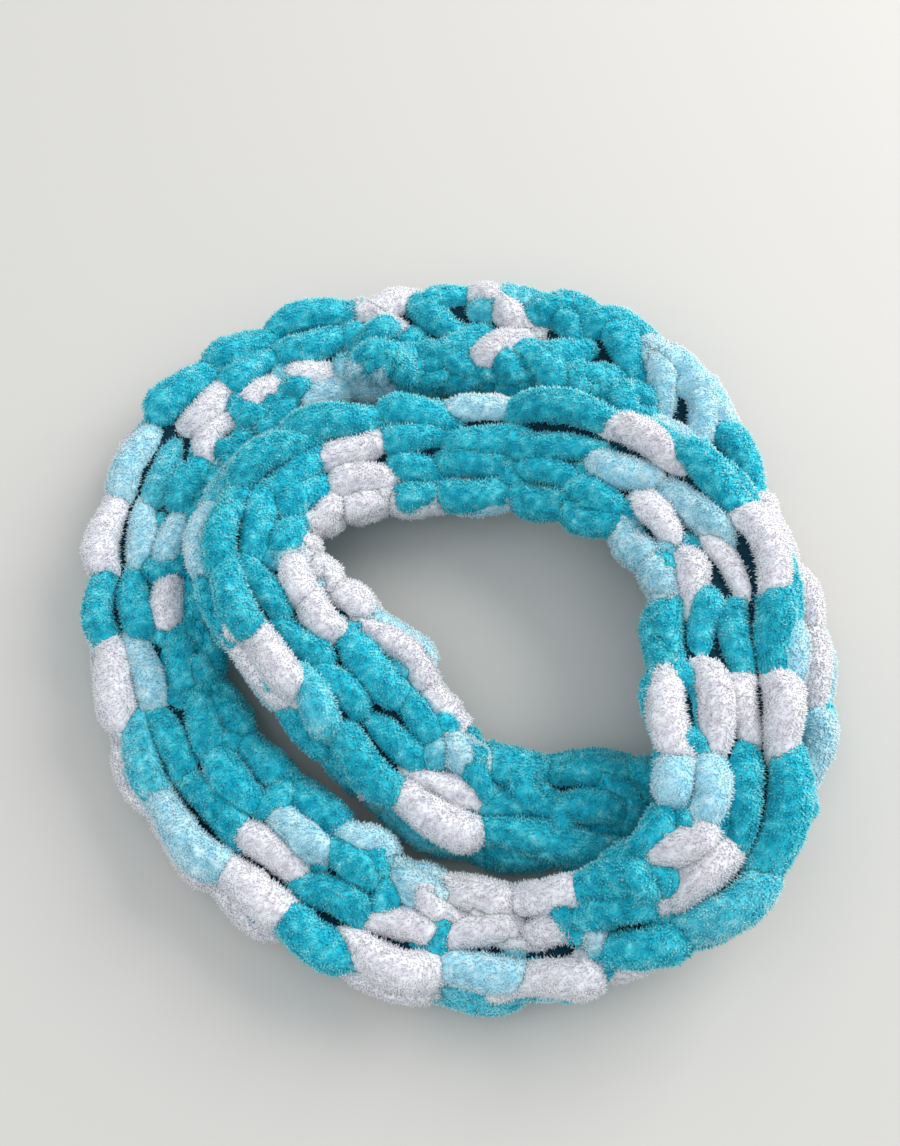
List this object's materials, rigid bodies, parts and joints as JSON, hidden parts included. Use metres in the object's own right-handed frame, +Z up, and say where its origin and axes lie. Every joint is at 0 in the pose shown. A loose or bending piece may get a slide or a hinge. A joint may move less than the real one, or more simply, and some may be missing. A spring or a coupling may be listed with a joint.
{
  "type": "infinity scarf",
  "caption": "Thick chenille-knit infinity scarf: one closed band folded in three along its length and laid double in a ring, with the first turn crossing over the second.",
  "frame": {"origin": "middle of the footprint of the laid scarf, on the surface that it lies on", "axes": "+Z up from that surface; +X to the side where the first turn crosses over the second; +Y to the side with the joining seam"},
  "size_m": [0.3523, 0.3531, 0.0759],
  "materials": {
    "chenille_turquoise": "velvety chenille pile, turquoise with pale aqua and white patches",
    "chenille_pale_aqua": "velvety chenille pile, pale aqua with white and turquoise patches",
    "chenille_white": "velvety chenille pile, white with turquoise patches",
    "seam_yarn": "the same chenille yarn, pulled tight"
  },
  "bodies": {
    "root": {"inner_top": "chenille_turquoise", "upper_right": "chenille_white", "lower_right": "chenille_turquoise", "bottom": "chenille_white", "outer_left": "chenille_turquoise", "outer_top_left": "chenille_turquoise", "joining_seam": "seam_yarn", "outer_top": "chenille_turquoise", "outer_right": "chenille_pale_aqua", "under_crossing": "chenille_pale_aqua", "inner_bottom": "chenille_turquoise", "inner_left": "chenille_turquoise"}
  },
  "joints": []
}
